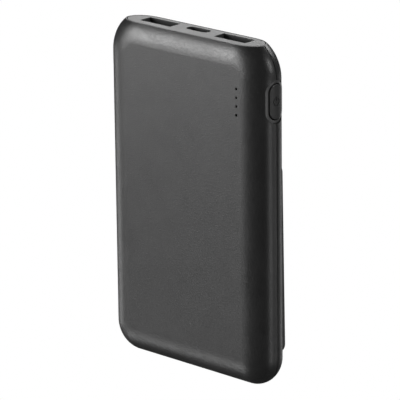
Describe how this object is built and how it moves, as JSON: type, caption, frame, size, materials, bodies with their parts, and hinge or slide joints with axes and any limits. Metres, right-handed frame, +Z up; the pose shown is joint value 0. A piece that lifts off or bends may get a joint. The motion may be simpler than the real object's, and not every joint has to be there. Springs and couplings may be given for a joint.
{
  "type": "power bank",
  "caption": "Slim upright portable battery with soft rounded shells, an end panel of sockets, a side push button and a row of lamp holes.",
  "frame": {"origin": "centre of the flat foot, on the plane where the front and rear shells part", "axes": "+X towards the power button's side, +Y from the front face to the rear, +Z up the long side to the socket panel"},
  "size_m": [0.0644, 0.0146, 0.105],
  "materials": {
    "shell_plastic": "soft-touch fine grain, dark grey",
    "panel_plastic": "satin, fine grain",
    "ring_plastic": "satin",
    "button_plastic": "satin",
    "grip_rubber": "matt moulded rubber",
    "smoked_plastic": "smoked clear moulding",
    "lamp_resin": "clear resin chip",
    "switch_plastic": "moulded",
    "plunger_plastic": "moulded",
    "board_laminate": "solder mask",
    "ferrite": "pressed ferrite",
    "chip_resin": "moulded resin",
    "ceramic": "fired ceramic",
    "resistor_film": "glazed film",
    "cell_foil": "laminated foil pouch",
    "nickel": "rolled nickel strip",
    "foam": "closed-cell foam",
    "barley_paper": "pressed paper",
    "red_jacket": "silicone jacket",
    "black_jacket": "silicone jacket",
    "screw_steel": "zinc plated",
    "socket_steel": "stamped sheet, dull",
    "socket_plastic": "moulded nylon",
    "contact_gold": "gold flashed"
  },
  "bodies": {
    "housing": {"front_shell": "shell_plastic", "rear_shell": "shell_plastic", "top_panel": "panel_plastic", "rear_grip_pad": "grip_rubber", "button_frame": "ring_plastic", "switch_body": "switch_plastic", "light_guide": "smoked_plastic", "status_lamps": "lamp_resin", "main_board": "board_laminate", "cell_protection_board": "board_laminate", "boost_inductor": "ferrite", "controller_chip": "chip_resin", "power_stage_chips": "chip_resin", "ceramic_capacitors": "ceramic", "resistors": "resistor_film", "battery_cell": "cell_foil", "cell_tab_positive": "nickel", "cell_tab_negative": "nickel", "cell_foam_tape": "foam", "insulating_sheet": "barley_paper", "positive_lead": "red_jacket", "negative_lead": "black_jacket", "board_screws": "screw_steel", "usb_c_shell": "socket_steel", "usb_c_insulator": "socket_plastic", "usb_c_contacts": "contact_gold", "usb_a_left_shell": "socket_steel", "usb_a_left_insulator": "socket_plastic", "usb_a_left_contacts": "contact_gold", "usb_a_right_shell": "socket_steel", "usb_a_right_insulator": "socket_plastic", "usb_a_right_contacts": "contact_gold"},
    "button": {"power_button": "button_plastic"},
    "plunger": {"switch_plunger": "plunger_plastic"}
  },
  "joints": [
    {"name": "power_button_press", "type": "slide", "parent": "housing", "child": "button", "axis": [-1, 0, 0], "range_m": [0, 0.00035], "stiffness_N_per_m": 400, "springref_m": -0.001},
    {"name": "switch_plunger_press", "type": "slide", "parent": "housing", "child": "plunger", "axis": [-1, 0, 0], "range_m": [0, 0.00035]}
  ],
  "couplings": [
    {"joint": "switch_plunger_press", "follows": "power_button_press", "ratio": 1}
  ]
}
